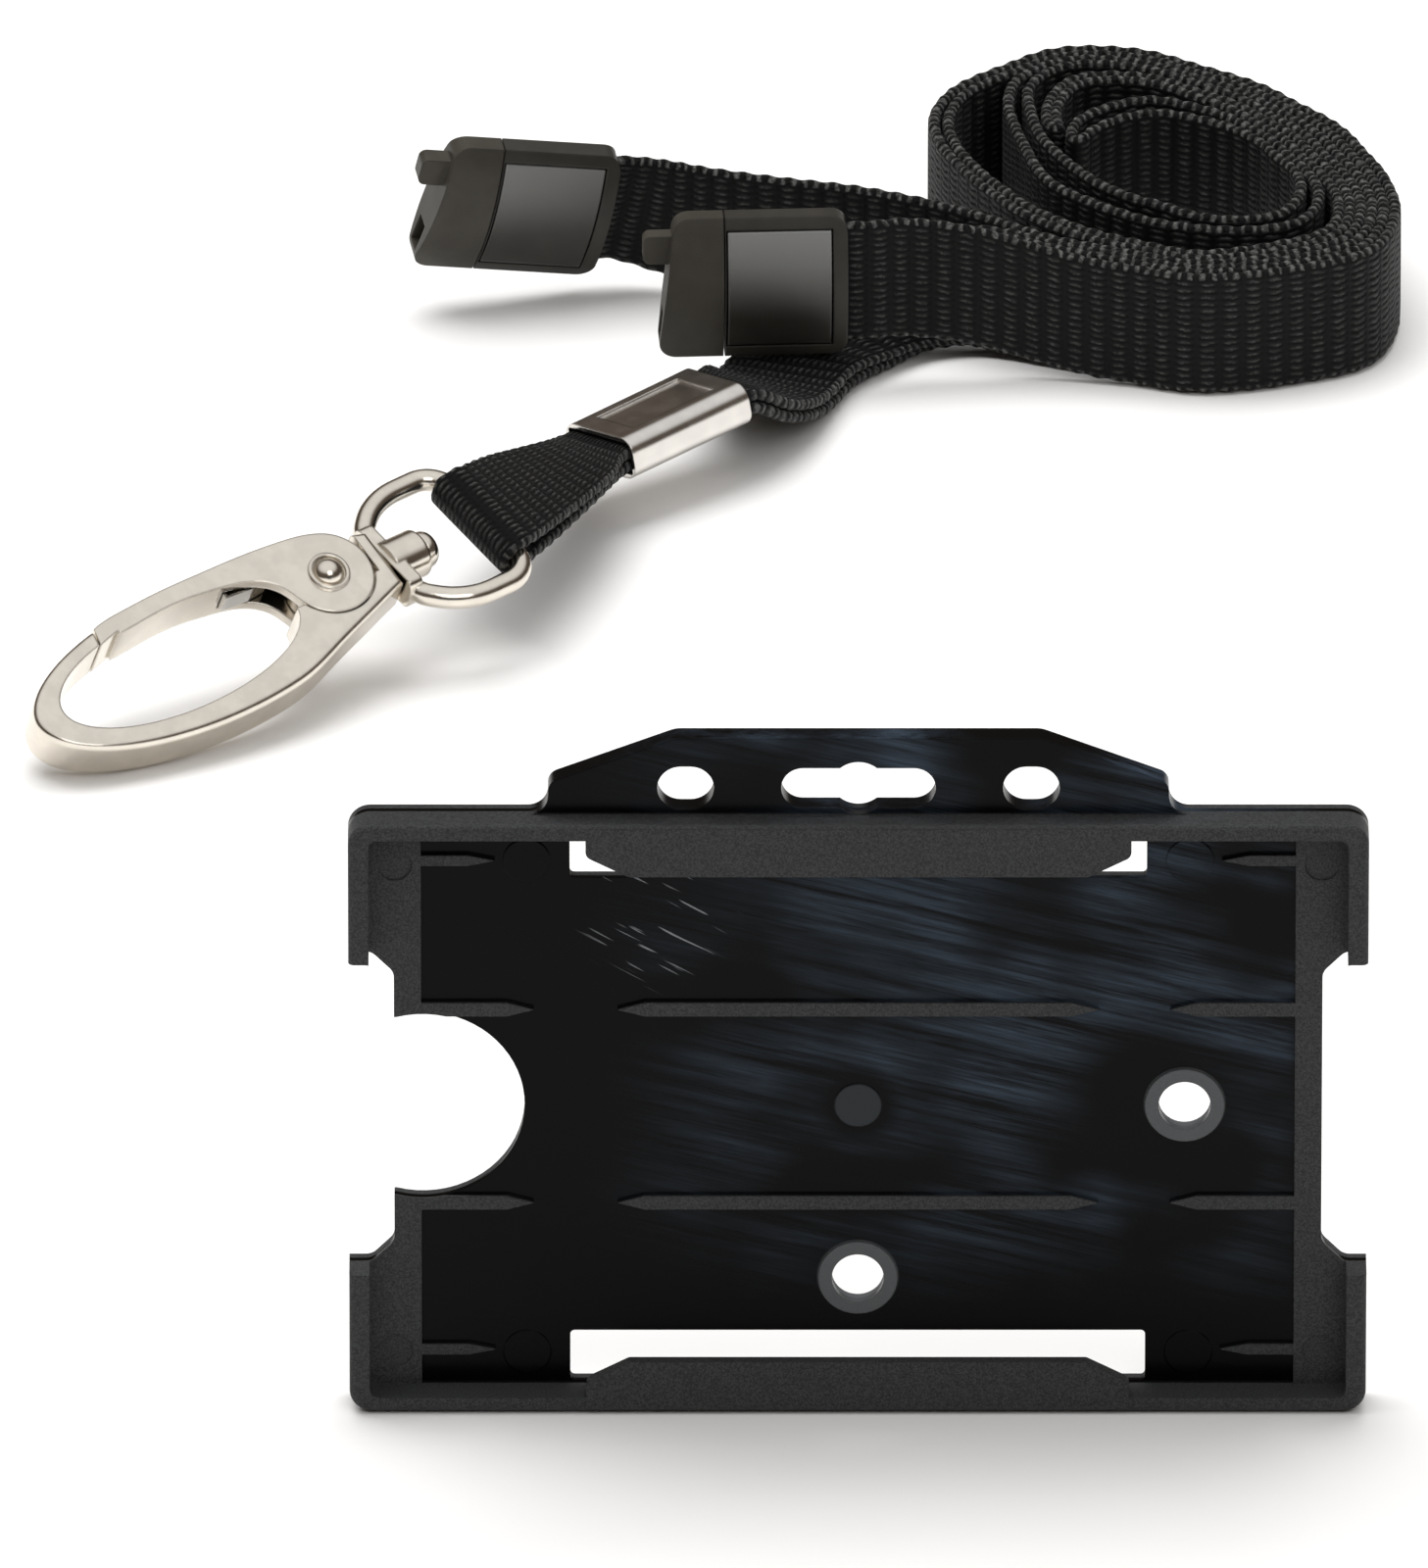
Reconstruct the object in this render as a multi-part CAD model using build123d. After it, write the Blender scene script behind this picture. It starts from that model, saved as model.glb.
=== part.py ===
from build123d import *
import os
from math import cos, pi, radians, sin

# Lanyard badge holder: a card holder standing on its long edge at the origin, and behind it the lanyard
# lying on the same surface.  Millimetres, +Z up, +X to the viewer's right, +Y away from the viewer.
# The origin is the middle of the card holder's bottom edge.

# ---- card holder ------------------------------------------------------------------------------------
BODY_WIDTH = 89.8
BODY_HEIGHT = 57.2
HOLDER_DEPTH = 4.6
POCKET_WIDTH = 86.2
POCKET_HEIGHT = 54.3
BODY_CORNER_R = 2.0
PLATE_THICKNESS = 1.2
LIP_THICKNESS = 1.1
TAB_THICKNESS = 2.2
BAND_RISE = 0.5
TAB_TOP = 64.6
TAB_HALF_WIDTH = 27.3
TAB_SHOULDER = 60.3
TAB_TOP_HALF_WIDTH = 16.1
HANGER_Z = 59.8
HANGER_SPACING = 30.4
HANGER_SLOT = (5.0, 4.15)
CLIP_SLOT = (13.6, 3.85)
CLIP_BULGE_R = 2.52
WINDOW_HALF_LENGTH = 25.4
WINDOW_HEIGHT = 4.85
WINDOW_INSET = 1.65
LIP_REACH = 4.95
LIP_HALF_LENGTH = 24.0
LIP_FLAT_HALF_LENGTH = 20.2
LIP_CHAMFER_REACH = 3.0
SIDE_STEP_X = 40.9
SIDE_STEP_LOW = 13.4
SIDE_STEP_HIGH = 43.7
NOTCH_CENTRE = (-38.4, 28.6)
NOTCH_R = 9.0
TRAY_HALF_WIDTH = 38.5
RIB_WIDTH = 1.3
RIB_HEIGHTS = (38.0, 19.15)
HOLE_R = 2.3
HOLE_BOSS_R = 3.5
HOLE_BOSS_RISE = 0.35
HOLE_CENTRES = ((28.8, 28.6), (0.0, 11.75))

# ---- webbing ----------------------------------------------------------------------------------------
WEB_WIDTH = 12.0
WEB_THICKNESS = 1.3
DOUBLED_THICKNESS = 2.64
COIL_CENTRE = (28.6, 240.4)
COIL_RADII = (22.4, 26.4)
COIL_HOLE_CENTRE = (30.0, 241.0)
COIL_HOLE_RADII = (11.4, 12.6)

# ---- ferrule ----------------------------------------------------------------------------------------
FERRULE_LENGTH = 14.2
FERRULE_WIDTH = 9.6
FERRULE_HEIGHT = 4.1
FERRULE_WALL = 0.5
FERRULE_START = (-23.1, 188.7, 6.0)
FERRULE_HEADING = 41.0
FERRULE_PITCH = 5.5
FERRULE_ROLL = -8.0
FERRULE_INNER_WIDTH = FERRULE_WIDTH - 2 * FERRULE_WALL

# ---- hook and swivel (local x runs along the swivel axis from the nose) -----------------------------
HOOK_NOSE = (-74.84, 131.2, 4.3)
HOOK_HEADING = 37.0
HOOK_PITCH = 7.5
HOOK_ROLL = 32.0
YOKE_ROLL = 20.0
HOOK_THICKNESS = 4.5
RIM_R = 0.7
OUTER_CENTRE = (18.5, -1.0)
OUTER_RADII = (18.6, 7.3)
INNER_CENTRE = (16.0, -0.75)
INNER_RADII = (13.2, 5.2)
HOOK_END = 40.0
NECK_HALF_WIDTH = 3.1
PIVOT = (34.1, 0.9)
HEAD_R = 4.3
LUG_R = 3.5
LUG_THICKNESS = 2.3
CHEEK_GAP = 0.1
GATE_TIP = 10.3
GATE_GAP = 0.35
RIVET_R = 1.0
RUNNING_GAP = 0.05
PIN_R = 0.95
HEAD_RIM = 1.8
HEAD_HEIGHT = 1.5
BRIDGE_START = 40.2
BRIDGE_THICKNESS = 1.4
BOSS_R = 2.3
BOSS_END = 44.4
BAR_X = 51.9
WIRE_R = 1.05
D_HALF_WIDTH = 7.4
D_SHOULDER = 4.2            # half width where the ring's wire leaves the bridge
D_SIDE_X = 44.4             # where its sides become straight
D_BENDS = [2.7, 7.0, 2.7]   # bend radii of the wire at the shoulder, the side and the bar

# ---- breakaway halves (local x runs from the mating end to the webbing) -----------------------------
CLIP_LENGTH = 17.6
CLIP_HEIGHT = 14.0
CLIP_CENTRE_THICKNESS = 4.8
CLIP_FACE_R = 17.0
CLIP_SLANT = 1.6
SEAM_X = 6.2
SEAM_GAP = 0.12
CLIP_CORNER_R = 1.6
SLOT_THICKNESS = 1.5
SLOT_WIDTH = 12.3
WEB_STOP_X = 7.6
TONGUE_Y = (9.4, 12.2)
TONGUE_REACH = 2.2
TONGUE_THICKNESS = 1.7


def box_between(low, high):
    """A box from its lowest to its highest corner."""
    size = [high[i] - low[i] for i in range(3)]
    middle = [(high[i] + low[i]) / 2 for i in range(3)]
    return Pos(*middle) * Box(*size)


def layer(face, bottom, top):
    """A flat face extruded between two levels of its own z."""
    return extrude(Pos(0, 0, bottom) * face, amount=top - bottom)


def polygon(*points):
    return make_face(Polyline(*points, close=True))


def travel_frame(origin, heading, pitch, roll):
    """A frame whose x runs along a heading and a pitch, and whose z is tipped from upright by roll."""
    h, p, r = radians(heading), radians(pitch), radians(roll)
    along = Vector(cos(h) * cos(p), sin(h) * cos(p), sin(p))
    level = Vector(-sin(h), cos(h), 0)
    above = along.cross(level)
    return Plane(origin=origin, x_dir=along, z_dir=above * cos(r) - level * sin(r))


HOLDER_FRAME = Plane.XZ
HOOK_FRAME = travel_frame(HOOK_NOSE, HOOK_HEADING, HOOK_PITCH, HOOK_ROLL)
YOKE_FRAME = travel_frame(HOOK_NOSE, HOOK_HEADING, HOOK_PITCH, YOKE_ROLL)
FERRULE_FRAME = travel_frame(FERRULE_START, FERRULE_HEADING, FERRULE_PITCH, FERRULE_ROLL)
CLIP_FRONT_FRAME = Plane(origin=(-18.0, 216.4, 3.25), x_dir=(0.998, 0.055, 0.0), z_dir=(0.055, -0.998, 0.0))
CLIP_BACK_FRAME = Plane(origin=(-41.2, 234.0, 4.9), x_dir=(0.94, 0.26, -0.16), z_dir=(0.19, -0.95, -0.25))


# ---- card holder: one moulding ------------------------------------------------------------------------
def near(vertices, x, y, reach=1.0):
    """The vertices of a flat face that lie close to one point."""
    return [v for v in vertices if abs(v.X - x) < reach and abs(v.Y - y) < reach]


def holder_outline():
    """The outside outline, hanger tab included, before the side steps and the thumb notch."""
    body = Pos(0, BODY_HEIGHT / 2) * RectangleRounded(BODY_WIDTH, BODY_HEIGHT, BODY_CORNER_R)
    half_tab = [(TAB_HALF_WIDTH, TAB_SHOULDER), (TAB_TOP_HALF_WIDTH, TAB_TOP)]
    tab = polygon((TAB_HALF_WIDTH, BODY_HEIGHT - 2), *half_tab, *[(-x, y) for x, y in reversed(half_tab)],
                  (-TAB_HALF_WIDTH, BODY_HEIGHT - 2))
    outline = body + tab
    for side in (-1, 1):
        outline = fillet(near(outline.vertices(), side * TAB_HALF_WIDTH, BODY_HEIGHT), 1.8)
        outline = fillet(near(outline.vertices(), side * TAB_HALF_WIDTH, TAB_SHOULDER), 1.2)
        outline = fillet(near(outline.vertices(), side * TAB_TOP_HALF_WIDTH, TAB_TOP), 2.5)
    return outline


def side_step(side):
    """The stretch between the corner walls, where one short side is set in."""
    reach = BODY_WIDTH / 2 + 2
    inner = SIDE_STEP_X
    ramp = 2.0
    step = polygon((side * reach, SIDE_STEP_HIGH), (side * (inner + ramp), SIDE_STEP_HIGH),
                   (side * inner, SIDE_STEP_HIGH - ramp), (side * inner, SIDE_STEP_LOW + ramp),
                   (side * (inner + ramp), SIDE_STEP_LOW), (side * reach, SIDE_STEP_LOW))
    bends = [v for v in step.vertices() if abs(v.X) < reach - 0.5]
    return fillet(bends, 1.3)


def thumb_notch():
    """The round bite in the left side, with the corners where it meets the edge rounded off."""
    x, y = NOTCH_CENTRE
    bite = Pos(x, y) * Circle(NOTCH_R)
    mouth = polygon((-SIDE_STEP_X - 3, y + NOTCH_R - 0.3), (x - 1.5, y + NOTCH_R - 0.3),
                    (x - 1.5, y - NOTCH_R + 0.3), (-SIDE_STEP_X - 3, y - NOTCH_R + 0.3))
    return bite + mouth


def windows():
    """The long slots through the back plate, behind the two lips."""
    middle = WINDOW_INSET + WINDOW_HEIGHT / 2
    slot = RectangleRounded(2 * WINDOW_HALF_LENGTH, WINDOW_HEIGHT, 0.4)
    return Pos(0, middle) * slot + Pos(0, BODY_HEIGHT - middle) * slot


def hanger_holes():
    """Two oval holes and a middle slot with a round bulge, through the hanger tab."""
    ovals = [Pos(side * HANGER_SPACING / 2, HANGER_Z) * SlotOverall(*HANGER_SLOT) for side in (-1, 1)]
    middle = Pos(0, HANGER_Z) * SlotOverall(*CLIP_SLOT) + Pos(0, HANGER_Z) * Circle(CLIP_BULGE_R)
    return middle + ovals[0] + ovals[1]


def round_holes(radius):
    return [Pos(x, y) * Circle(radius) for x, y in HOLE_CENTRES]


def lip(side):
    """One retaining lip in front of the card: side is -1 at the bottom edge and 1 at the top."""
    middle = BODY_HEIGHT / 2
    reaches = [0.3, LIP_CHAMFER_REACH, LIP_REACH]
    levels = [middle + side * (middle - reach) for reach in reaches]
    shape = polygon((-LIP_HALF_LENGTH, levels[0]), (-LIP_HALF_LENGTH, levels[1]),
                    (-LIP_FLAT_HALF_LENGTH, levels[2]), (LIP_FLAT_HALF_LENGTH, levels[2]),
                    (LIP_HALF_LENGTH, levels[1]), (LIP_HALF_LENGTH, levels[0]))
    corners = [v for v in shape.vertices() if abs(v.Y - levels[0]) > 0.5]
    return fillet(corners, 0.8)


def rib(start, end, height, width, pointed_start, pointed_end):
    """A low rib along x, with an arrow point at the ends that don't run into a band."""
    half = width / 2
    taper = 2.4
    left = [(start + taper, -half), (start, 0), (start + taper, half)] if pointed_start else \
        [(start, -half), (start, half)]
    right = [(end - taper, half), (end, 0), (end - taper, -half)] if pointed_end else \
        [(end, half), (end, -half)]
    return Pos(0, height) * polygon(*left, *right)


def tray_ribs():
    """The ribs that the card rests on: long, short and corner ones."""
    ribs = []
    for height in RIB_HEIGHTS:
        ribs.append(rib(-21.2, 21.2, height, RIB_WIDTH, True, True))
        ribs.append(rib(27.5, TRAY_HALF_WIDTH + 0.5, height, RIB_WIDTH, True, False))
        ribs.append(rib(-TRAY_HALF_WIDTH - 0.5, -28.6, height, RIB_WIDTH, False, True))
    for height in (52.5, 4.8):
        ribs.append(rib(32.0, TRAY_HALF_WIDTH + 0.5, height, 1.0, True, False))
        ribs.append(rib(-TRAY_HALF_WIDTH - 0.5, -32.0, height, 1.0, False, True))
    return ribs


def card_holder():
    """The whole holder, in a frame whose z comes out of the front face."""
    back = -HOLDER_DEPTH / 2
    front = HOLDER_DEPTH / 2
    floor = back + PLATE_THICKNESS
    outline = holder_outline()
    steps = side_step(-1) + side_step(1)
    notch = thumb_notch()
    pocket = Pos(0, BODY_HEIGHT / 2) * RectangleRounded(POCKET_WIDTH, POCKET_HEIGHT, 0.8)
    body = Pos(0, BODY_HEIGHT / 2) * RectangleRounded(BODY_WIDTH, BODY_HEIGHT, BODY_CORNER_R)

    plate = layer(outline - windows(), back, floor)
    tab = layer(outline - Pos(0, BODY_HEIGHT / 2 - 0.7) * Rectangle(2 * BODY_WIDTH, BODY_HEIGHT),
                back, back + TAB_THICKNESS)
    block = layer(body, back, front)
    block = fillet(block.faces().sort_by(Axis.Z)[-1].edges(), 0.6)
    walls = block - layer(pocket, back, front)
    bands = layer(pocket - Pos(0, BODY_HEIGHT / 2) * RectangleRounded(
        2 * TRAY_HALF_WIDTH, POCKET_HEIGHT + 6, 2.0), floor - 0.2, floor + BAND_RISE)
    lips = [layer(lip(side), front - LIP_THICKNESS, front) for side in (-1, 1)]
    ribs = [layer(shape, floor - 0.2, floor + BAND_RISE) for shape in tray_ribs()]
    bosses = [layer(ring, floor - 0.2, floor + HOLE_BOSS_RISE) for ring in round_holes(HOLE_BOSS_R)]
    marks = [layer(Pos(x, y) * Circle(2.1), floor - 0.2, floor + 0.12)
             for x, y in ((0, 28.5), (29.2, 52.3), (-29.2, 52.3), (29.2, 4.4), (-29.2, 4.4))]

    whole = plate + tab + walls + bands
    for piece in lips + ribs + bosses + marks:
        whole = whole + piece
    for side in (-1, 1):
        for height in (52.1, 4.7):
            dent = Pos(side * 40.8, height) * Circle(1.5)
            whole = whole - layer(dent, floor + BAND_RISE - 0.15, floor + BAND_RISE + 0.5)
    for opening in [steps, notch, hanger_holes()] + round_holes(HOLE_R):
        whole = whole - layer(opening, back - 1, front + 1)
    whole = whole - layer(windows(), back - 1, front - LIP_THICKNESS)
    return HOLDER_FRAME.location * whole


# ---- webbing: plain closed solids of the strip ---------------------------------------------------------
def strip(stations, thickness):
    """A strip through stations of (centre, width direction, width), standing square to its own path."""
    sections = []
    count = len(stations)
    for i, (centre, across, width) in enumerate(stations):
        before = Vector(*stations[max(i - 1, 0)][0])
        after = Vector(*stations[min(i + 1, count - 1)][0])
        along = (after - before).normalized()
        side = Vector(*across)
        side = (side - along * side.dot(along)).normalized()
        plane = Plane(origin=Vector(*centre), x_dir=side, z_dir=along)
        sections.append(plane.location * Rectangle(width, thickness))
    return loft(sections, ruled=True)


def webbing_coil():
    """The outer shape of the wound strap, about seven layers round an open middle."""
    outer = Pos(*COIL_CENTRE) * Ellipse(*COIL_RADII)
    hole = Pos(*COIL_HOLE_CENTRE) * Ellipse(*COIL_HOLE_RADII)
    return layer(outer - hole, 0, WEB_WIDTH)


def clip_station(frame, x):
    """A strip station inside or just behind a breakaway half, square to the half."""
    return tuple(frame.from_local_coords(Vector(x, CLIP_HEIGHT / 2, 0))), tuple(frame.y_dir), WEB_WIDTH


def clip_stations(frame):
    return [clip_station(frame, x) for x in (WEB_STOP_X, CLIP_LENGTH - 0.5, CLIP_LENGTH + 1.2)]


def webbing_front_end():
    """The free end from the front of the coil into the nearer breakaway half."""
    up = (0, 0, 1)
    route = [(5.0, 218.7, 10.0), (11.2, 218.3, 9.3), (17.6, 216.3, 7.2), (21.0, 214.6, 6.2), (24.5, 213.7, 6.05),
             (27.5, 213.2, 6.05)]
    return strip(clip_stations(CLIP_FRONT_FRAME) + [(point, up, WEB_WIDTH) for point in route], WEB_THICKNESS)


def webbing_back_end():
    """The free end from the side of the coil into the further breakaway half."""
    up = (0, 0, 1)
    route = [(-13.5, 237.4, 6.7), (-6.0, 236.2, 6.15), (5.2, 232.9, 6.1)]
    return strip(clip_stations(CLIP_BACK_FRAME) + [(point, up, WEB_WIDTH) for point in route], WEB_THICKNESS)


def ferrule_point(x, z=0.0):
    return tuple(FERRULE_FRAME.from_local_coords(Vector(x, 0, z)))


def webbing_neck():
    """The doubled strap from the middle of the ferrule, under the front end and into the coil."""
    across = tuple(FERRULE_FRAME.y_dir)
    squeezed = FERRULE_INNER_WIDTH - 0.1
    flat = (-0.78, 0.62, 0.0)
    held = [(ferrule_point(x), across, squeezed)
            for x in (FERRULE_LENGTH / 2, FERRULE_LENGTH + 0.1, FERRULE_LENGTH + 1.0)]
    free = [((-8.2, 202.6, 5.6), (-0.75, 0.65, 0.1), 11.0), ((-3.4, 208.6, 2.9), flat, WEB_WIDTH),
            ((0.8, 214.0, 1.5), flat, WEB_WIDTH), ((5.0, 219.6, 1.45), flat, WEB_WIDTH)]
    return strip(held + free, DOUBLED_THICKNESS)


def webbing_loop():
    """The strap's turn round the yoke's bar, with both of its ends in the ferrule."""
    bar = YOKE_FRAME.from_local_coords(Vector(BAR_X, 0, 0))
    across = YOKE_FRAME.y_dir
    outward = (bar - FERRULE_FRAME.origin).normalized()
    outward = (outward - across * outward.dot(across)).normalized()
    above = outward.cross(across)
    if above.Z < 0:
        above = above * -1
    wrap_r = WIRE_R + 0.2 + WEB_THICKNESS / 2
    half_gap = WEB_THICKNESS / 2 + 0.02
    squeezed = FERRULE_INNER_WIDTH - 0.1
    ferrule_across = tuple(FERRULE_FRAME.y_dir)

    def leg(sign):
        held = [(ferrule_point(x, sign * half_gap), ferrule_across, squeezed)
                for x in (FERRULE_LENGTH / 2 - 0.1, -0.1, -2.4)]
        spread = bar - outward * 9.0 + above * (sign * 1.5)
        return held + [(tuple(spread), tuple(across), 11.6)]

    turn = []
    for step in range(7):
        angle = radians(90 - 30 * step)
        centre = bar + outward * (wrap_r * cos(angle)) + above * (wrap_r * sin(angle))
        turn.append((tuple(centre), tuple(across), 10.8))
    return strip(leg(1) + turn + leg(-1)[::-1], WEB_THICKNESS)


# ---- ferrule ----------------------------------------------------------------------------------------------
def ferrule():
    """A flattened metal tube with a pressed panel in its top face."""
    outer = RectangleRounded(FERRULE_WIDTH, FERRULE_HEIGHT, 1.5)
    inner = RectangleRounded(FERRULE_INNER_WIDTH, FERRULE_HEIGHT - 2 * FERRULE_WALL, 0.3)
    across = Plane(origin=(0, 0, 0), x_dir=(0, 1, 0), z_dir=(1, 0, 0))
    tube = extrude(across.location * (outer - inner), amount=FERRULE_LENGTH)
    panel = Pos(FERRULE_LENGTH / 2, 0, FERRULE_HEIGHT / 2) * Box(FERRULE_LENGTH - 4.4, FERRULE_WIDTH - 4.4, 0.5)
    return FERRULE_FRAME.location * (tube - panel)


# ---- swivel -----------------------------------------------------------------------------------------------
def along_axis(radius, start, end):
    """A cylinder about the swivel axis."""
    return Pos((start + end) / 2, 0, 0) * Rot(0, 90, 0) * Cylinder(radius, end - start)


def swivel_yoke():
    """A D-shaped wire yoke with a flat bridge and a boss that the swivel pin turns in."""
    bridge_x = BRIDGE_START + 0.95
    corners = [(bridge_x, D_SHOULDER), (D_SIDE_X, D_HALF_WIDTH), (BAR_X, D_HALF_WIDTH)]
    mirrored = [(x, -y) for x, y in reversed(corners)]
    route = FilletPolyline(*corners, *mirrored, radius=D_BENDS + D_BENDS[::-1], close=True)
    start = Plane(origin=(BAR_X, 0, 0), x_dir=(1, 0, 0), z_dir=(0, 1, 0))
    ring = sweep(start.location * Circle(WIRE_R), path=route)
    bridge = box_between((BRIDGE_START, -4.3, -1.7), (BRIDGE_START + BRIDGE_THICKNESS, 4.3, 1.7))
    bridge = fillet(bridge.edges().filter_by(Axis.X), 0.9)
    boss = along_axis(BOSS_R, BRIDGE_START + 0.4, BOSS_END)
    boss = fillet(boss.edges().sort_by(Axis.X)[-1], 0.4)
    body = ring + bridge + boss - along_axis(PIN_R + RUNNING_GAP, BRIDGE_START - 1.5, BOSS_END + 1)
    body = body - box_between((BRIDGE_START - 3, -9, -3), (BRIDGE_START, 9, 3))
    return YOKE_FRAME.location * body


def swivel_pin():
    """The pin fixed in the hook's end, with a mushroom head beyond the yoke's boss."""
    under = BOSS_END + 0.1
    head = along_axis(HEAD_RIM, under, under + HEAD_HEIGHT)
    head = fillet(head.edges().filter_by(GeomType.CIRCLE).sort_by(Axis.X)[-1], HEAD_HEIGHT - 0.3)
    return HOOK_FRAME.location * (head + along_axis(PIN_R, HOOK_END - 1.4, under + 0.3))


# ---- hook -------------------------------------------------------------------------------------------------
def hook_outside():
    """The outside outline of the closed hook: an oval that runs into the neck of the swivel."""
    oval = EllipticalCenterArc(OUTER_CENTRE, *OUTER_RADII, start_angle=75, arc_size=215)
    below = Spline(oval @ 1, (31.0, -6.05), (36.0, -4.4), (HOOK_END, -NECK_HALF_WIDTH),
                   tangents=(oval % 1, (0.96, 0.28)))
    end = Polyline(below @ 1, (HOOK_END, NECK_HALF_WIDTH), (36.0, 4.4), oval @ 0)
    return make_face([oval, below, *end.edges()])


def hook_inside():
    return Pos(*INNER_CENTRE) * Ellipse(*INNER_RADII)


def gate_outline():
    """The gate's outline: a curved finger that runs into a round head about the pivot."""
    def on_head(degrees):
        return (PIVOT[0] + HEAD_R * cos(radians(degrees)), PIVOT[1] + HEAD_R * sin(radians(degrees)))

    start, bottom, end = on_head(65), on_head(-60), on_head(200)
    outer = Spline((GATE_TIP + 0.3, 5.61), (14.5, 6.13), (18.5, 6.3), (23.0, 6.25), (28.0, 6.1), (32.0, 5.75),
                   start, tangents=((0.95, 0.3), (sin(radians(65)), -cos(radians(65)))))
    head = ThreePointArc(start, bottom, end)
    inner = Spline(end, (29.1, 1.7), (27.2, 3.2), (23.5, 4.1), (17.0, 4.45), (12.5, 4.25), (GATE_TIP - 0.1, 3.85),
                   tangents=((sin(radians(200)), -cos(radians(200))), (-0.95, -0.25)))
    tip = Line((GATE_TIP - 0.1, 3.85), (GATE_TIP + 0.3, 5.61))
    return make_face([outer, head, inner, tip])


def hook_body():
    """The cast frame of the hook, with a thin lug at the pivot that sits between the gate's cheeks."""
    half = HOOK_THICKNESS / 2
    solid = layer(hook_outside(), -half, half)
    rims = solid.faces().sort_by(Axis.Z)[-1].edges() + solid.faces().sort_by(Axis.Z)[0].edges()
    solid = fillet(rims, RIM_R)
    low, high, right = PIVOT[1] - 1.9, 9.0, PIVOT[0] + HEAD_R + GATE_GAP / 2
    gate_zone = polygon((GATE_TIP - 1.2, low), (GATE_TIP + 0.72, high), (right, high), (right, low))
    gate_zone = gate_zone + Pos(*PIVOT) * Circle(HEAD_R + GATE_GAP / 2)
    solid = solid - layer(hook_inside(), -half - 1, half + 1)
    solid = solid - layer(gate_zone, -half - 1, half + 1)
    lug = Pos(*PIVOT) * Circle(LUG_R) + polygon((34.0, -2.6), (38.9, -2.6), (38.9, 2.2), (34.0, 2.2))
    solid = solid + layer(lug, -LUG_THICKNESS / 2, LUG_THICKNESS / 2)
    solid = solid - Pos(*PIVOT) * Cylinder(RIVET_R, HOOK_THICKNESS + 1)
    solid = solid - along_axis(PIN_R, HOOK_END - 1.4, HOOK_END + 1)
    return HOOK_FRAME.location * solid


def hook_gate():
    """The sprung gate: a finger that closes the hook, with two cheeks on the pivot rivet."""
    half = HOOK_THICKNESS / 2
    slot_half = LUG_THICKNESS / 2 + CHEEK_GAP
    gate = layer(gate_outline(), -half, half)
    pocket = Pos(*PIVOT) * Circle(LUG_R + 0.25) + polygon((24.2, 1.0), (24.4, 4.6), (30.0, 5.0), (34.0, 4.4),
                                                          (34.0, -6.0), (29.0, -6.0))
    exit_side = polygon((34.0, -6.0), (34.0, 4.0), (36.6, 6.2), (42.0, 6.0), (42.0, -6.0))
    gate = gate - layer(pocket + exit_side, -slot_half, slot_half)
    gate = gate + [Pos(*PIVOT, side * (half + 0.1)) * (Cylinder(1.95, 0.5) - Cylinder(1.6, 1)) for side in (-1, 1)]
    gate = gate - Pos(*PIVOT) * Cylinder(RIVET_R + RUNNING_GAP, HOOK_THICKNESS + 2)
    return HOOK_FRAME.location * gate


def gate_rivet():
    """The rivet that the gate turns on, with a domed head at each end."""
    half = HOOK_THICKNESS / 2
    shank = Cylinder(RIVET_R, HOOK_THICKNESS + 0.2)
    rivet = shank
    for side in (-1, 1):
        dome = Pos(0, 0, side * (half - 0.45)) * Sphere(1.55)
        keep = Pos(0, 0, side * (half + 1.05)) * Box(4, 4, 2)
        rivet = rivet + (dome & keep)
    return HOOK_FRAME.location * (Pos(*PIVOT) * rivet)


def gate_spring():
    """The leaf spring that lies in the gate's pocket and pushes the gate shut."""
    leaf = polygon((24.8, 3.35), (27.4, 3.15), (29.3, 3.35), (29.35, 3.6), (27.4, 3.4), (24.8, 3.6))
    foot = polygon((24.5, 3.35), (24.8, 3.35), (24.8, 4.45), (24.5, 4.45))
    return HOOK_FRAME.location * layer(leaf + foot, -1.0, 1.0)


# ---- breakaway halves -------------------------------------------------------------------------------------
def clip_envelope():
    """The domed outside shape of one breakaway half."""
    side = polygon((0.0, 0.0), (CLIP_LENGTH, 0.0), (CLIP_LENGTH, CLIP_HEIGHT), (CLIP_SLANT, CLIP_HEIGHT))
    side = fillet(side.vertices(), CLIP_CORNER_R)
    slab = layer(side, -CLIP_CENTRE_THICKNESS, CLIP_CENTRE_THICKNESS)
    for sign in (-1, 1):
        centre_z = sign * (CLIP_CENTRE_THICKNESS / 2 - CLIP_FACE_R)
        barrel = Pos(CLIP_LENGTH / 2, CLIP_HEIGHT / 2, centre_z) * Rot(0, 90, 0) * Cylinder(CLIP_FACE_R, 40)
        slab = slab & barrel
    return slab


def clip_core():
    """The mating end, with its tongue, its socket and the plate that the webbing is clamped on."""
    end = clip_envelope() & box_between((-5, -1, -5), (SEAM_X - SEAM_GAP / 2, CLIP_HEIGHT + 1, 5))
    low, high = TONGUE_Y
    half = TONGUE_THICKNESS / 2
    tongue = box_between((-TONGUE_REACH + 0.9, low, -half), (3.0, high, half))
    tongue = fillet(tongue.edges().filter_by(Axis.Z).sort_by(Axis.X)[:2], 0.7)
    socket = box_between((-2, CLIP_HEIGHT - high, -half - 0.15), (5.2, CLIP_HEIGHT - low, half + 0.15))
    return end + tongue - socket


def web_slot():
    """The space that the webbing's end takes up."""
    half = SLOT_THICKNESS / 2
    middle = CLIP_HEIGHT / 2
    return box_between((WEB_STOP_X - 0.3, middle - SLOT_WIDTH / 2, -half),
                       (CLIP_LENGTH + 2, middle + SLOT_WIDTH / 2, half))


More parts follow.
